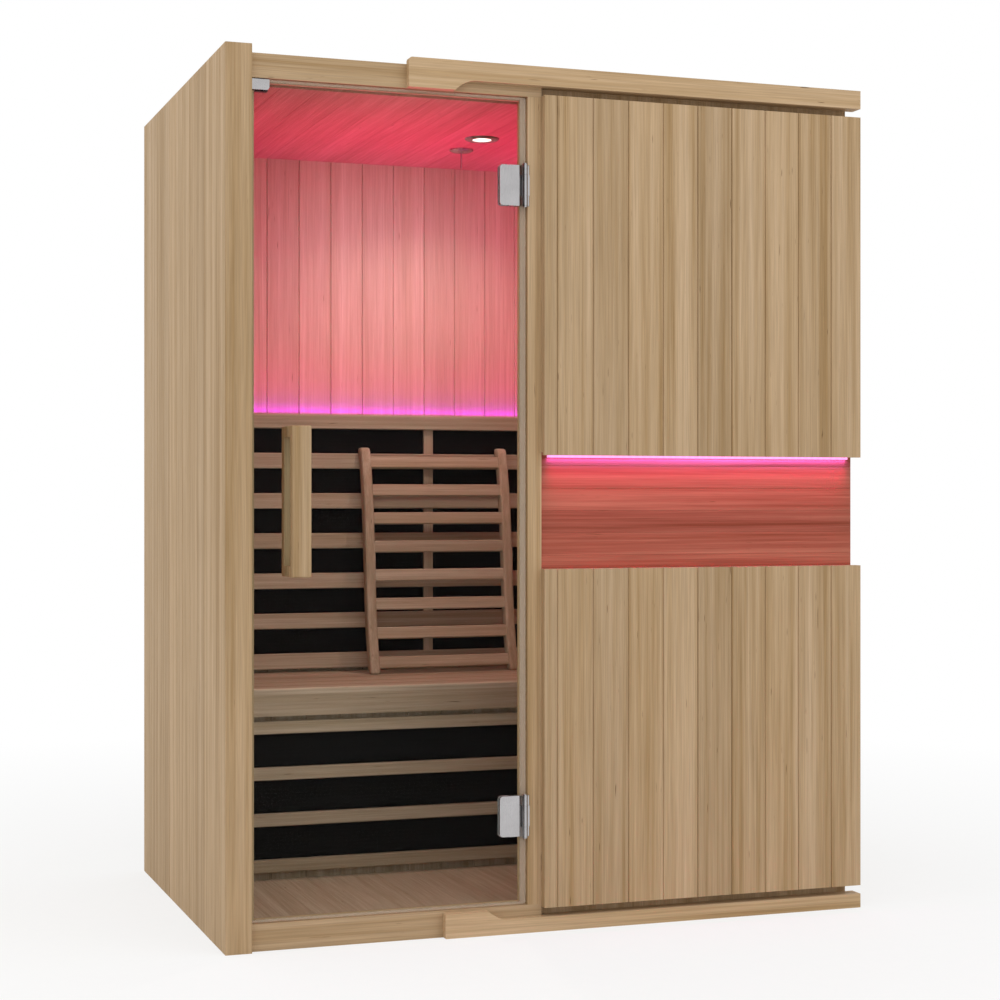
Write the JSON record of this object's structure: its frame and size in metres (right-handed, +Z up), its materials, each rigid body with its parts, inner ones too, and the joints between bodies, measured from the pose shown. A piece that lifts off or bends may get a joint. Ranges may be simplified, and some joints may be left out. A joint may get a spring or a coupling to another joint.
{
  "type": "infrared sauna cabin",
  "caption": "Free-standing timber infrared sauna cabin with a hinged glass door, heated bench and back grille, loose curved backrest, lit niche and ceiling light.",
  "frame": {"origin": "on the ground, in the middle of the outline from the outer door handle to the back wall and from the left wall to the facade's right end", "axes": "+Z up, -Y out of the door, +X to the right when facing the door"},
  "size_m": [1.532, 1.065, 1.95],
  "materials": {
    "hemlock_outside": "satin planed hemlock",
    "hemlock_inside": "satin planed hemlock",
    "satin_steel": "satin",
    "clear_glass": "clear toughened",
    "heater_film": "matte black heater panel",
    "light_diffuser": "frosted diffuser",
    "lamp_lens": "frosted lens",
    "black_plastic": "moulded black",
    "painted_steel": "powder coated dark grey"
  },
  "bodies": {
    "cabin": {"left_wall": "hemlock_outside", "right_wall": "hemlock_outside", "back_wall": "hemlock_inside", "front_wall": "hemlock_inside", "floor_panel": "hemlock_inside", "roof_panel": "hemlock_inside", "upper_cladding": "hemlock_outside", "lower_cladding": "hemlock_outside", "niche_boards": "hemlock_outside", "niche_light_strip": "light_diffuser", "roof_fascia": "hemlock_outside", "base_plinth": "hemlock_outside", "door_sill": "hemlock_outside", "door_header": "hemlock_outside", "strike_jamb": "hemlock_outside", "hinge_jamb": "hemlock_outside", "lower_hinge_leaf": "satin_steel", "upper_hinge_leaf": "satin_steel", "magnet_catch": "black_plastic", "bench_seat": "hemlock_inside", "bench_apron": "hemlock_inside", "bench_heater": "heater_film", "bench_panel": "hemlock_inside", "back_heater": "heater_film", "grille_stile": "hemlock_inside", "grille_top_rail": "hemlock_inside", "back_light_strip": "light_diffuser", "ceiling_light_ring": "satin_steel", "ceiling_light_lens": "lamp_lens", "ceiling_sensor": "satin_steel", "control_panel": "black_plastic", "power_unit": "painted_steel", "bench_slat_1": "hemlock_inside", "bench_slat_2": "hemlock_inside", "bench_slat_3": "hemlock_inside", "bench_slat_4": "hemlock_inside", "back_slat_1": "hemlock_inside", "back_slat_2": "hemlock_inside", "back_slat_3": "hemlock_inside", "back_slat_4": "hemlock_inside", "back_slat_5": "hemlock_inside", "back_slat_6": "hemlock_inside"},
    "door": {"door_glass": "clear_glass", "outer_handle": "hemlock_outside", "inner_handle": "hemlock_outside", "strike_plate": "satin_steel", "lower_hinge_outer_clamp": "satin_steel", "lower_hinge_inner_clamp": "satin_steel", "upper_hinge_outer_clamp": "satin_steel", "upper_hinge_inner_clamp": "satin_steel"},
    "backrest": {"backrest_left_rail": "hemlock_inside", "backrest_right_rail": "hemlock_inside", "backrest_slat_1": "hemlock_inside", "backrest_slat_2": "hemlock_inside", "backrest_slat_3": "hemlock_inside", "backrest_slat_4": "hemlock_inside", "backrest_slat_5": "hemlock_inside", "backrest_slat_6": "hemlock_inside", "backrest_slat_7": "hemlock_inside", "backrest_slat_8": "hemlock_inside"}
  },
  "joints": [
    {"name": "door_hinge", "type": "hinge", "parent": "cabin", "child": "door", "pos_m": [-0.082, -0.4975, 0], "axis": [0, 0, 1], "range_deg": [0, 110]},
    {"name": "backrest_slide", "type": "slide", "parent": "cabin", "child": "backrest", "axis": [1, 0, 0], "range_m": [-0.49, 0.485]}
  ]
}
